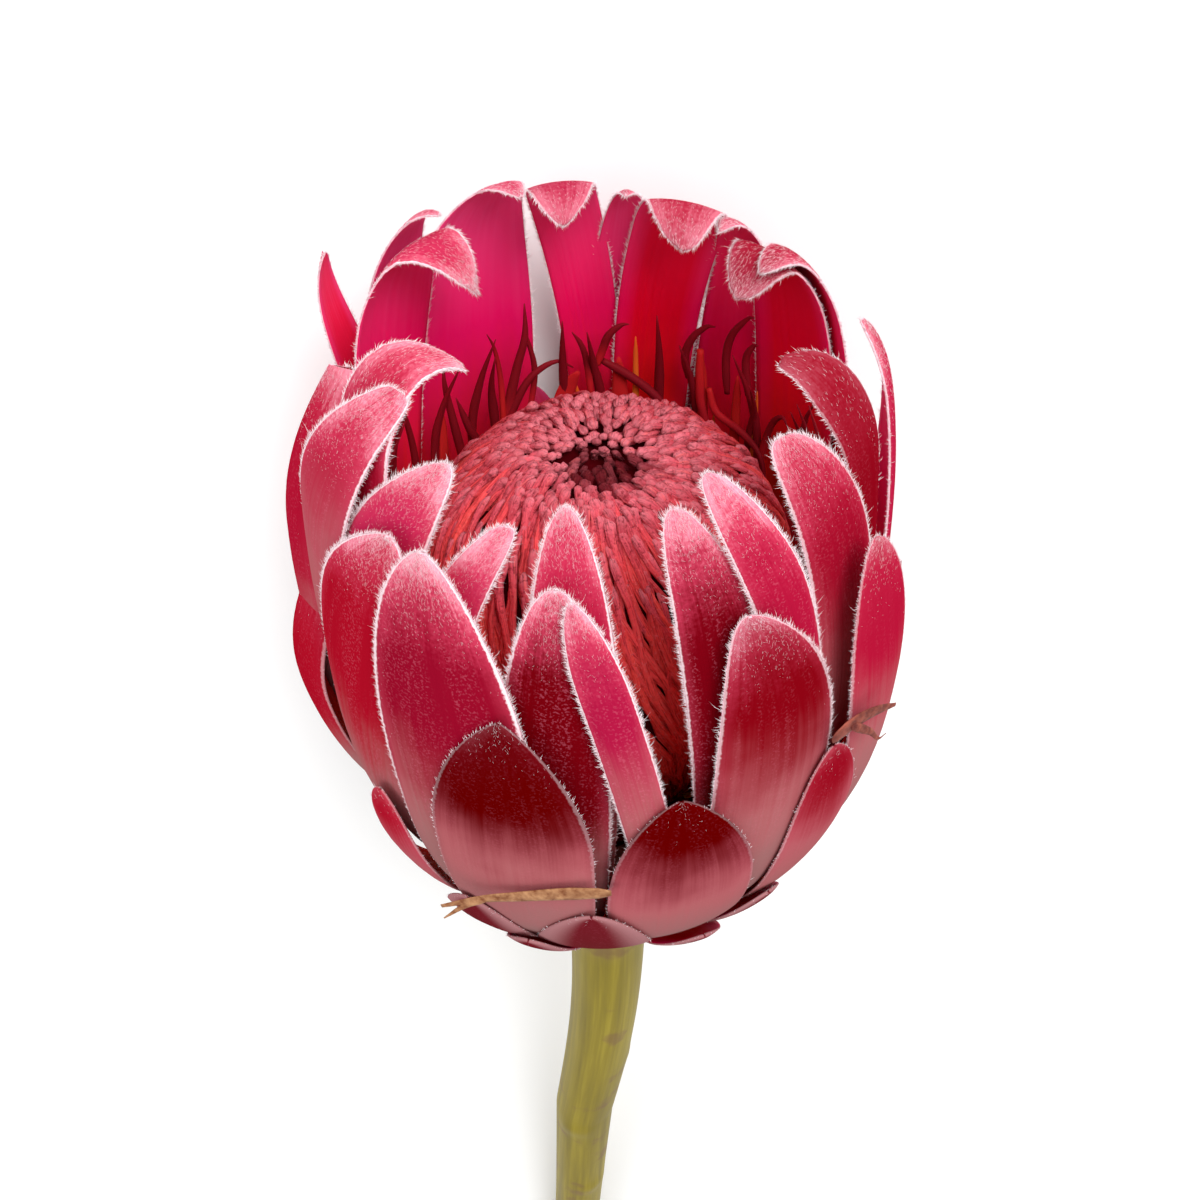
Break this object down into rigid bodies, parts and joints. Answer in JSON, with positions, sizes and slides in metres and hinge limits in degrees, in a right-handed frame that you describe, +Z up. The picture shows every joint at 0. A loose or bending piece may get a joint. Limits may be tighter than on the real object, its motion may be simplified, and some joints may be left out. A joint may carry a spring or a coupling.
{
  "type": "cut protea flower",
  "caption": "Cut protea flower lying on its side: a cup of layered, hairy-edged pink bracts round a dome of closed florets, on a plain bare stem.",
  "frame": {"origin": "middle of the bounding box's bottom, on the surface that the flower lies on", "axes": "+Z up; -Y is where the mouth of the cup points and +Y where the cut end of the stem is; the side that the picture shows most is up"},
  "size_m": [0.0744, 0.2668, 0.0728],
  "materials": {
    "stem": "matt, slightly waxy green stem",
    "bract": "satin bract with a fine white down",
    "floret": "matt, downy",
    "open_floret": "satin, dry",
    "dry_tan": "matt, dry",
    "dry_brown": "matt, dry"
  },
  "bodies": {
    "root": {"stem": "stem", "bracts": "bract", "florets": "floret", "open_florets": "open_floret", "dry_strip_front": "dry_tan", "dry_strip_side": "dry_brown"}
  },
  "joints": []
}
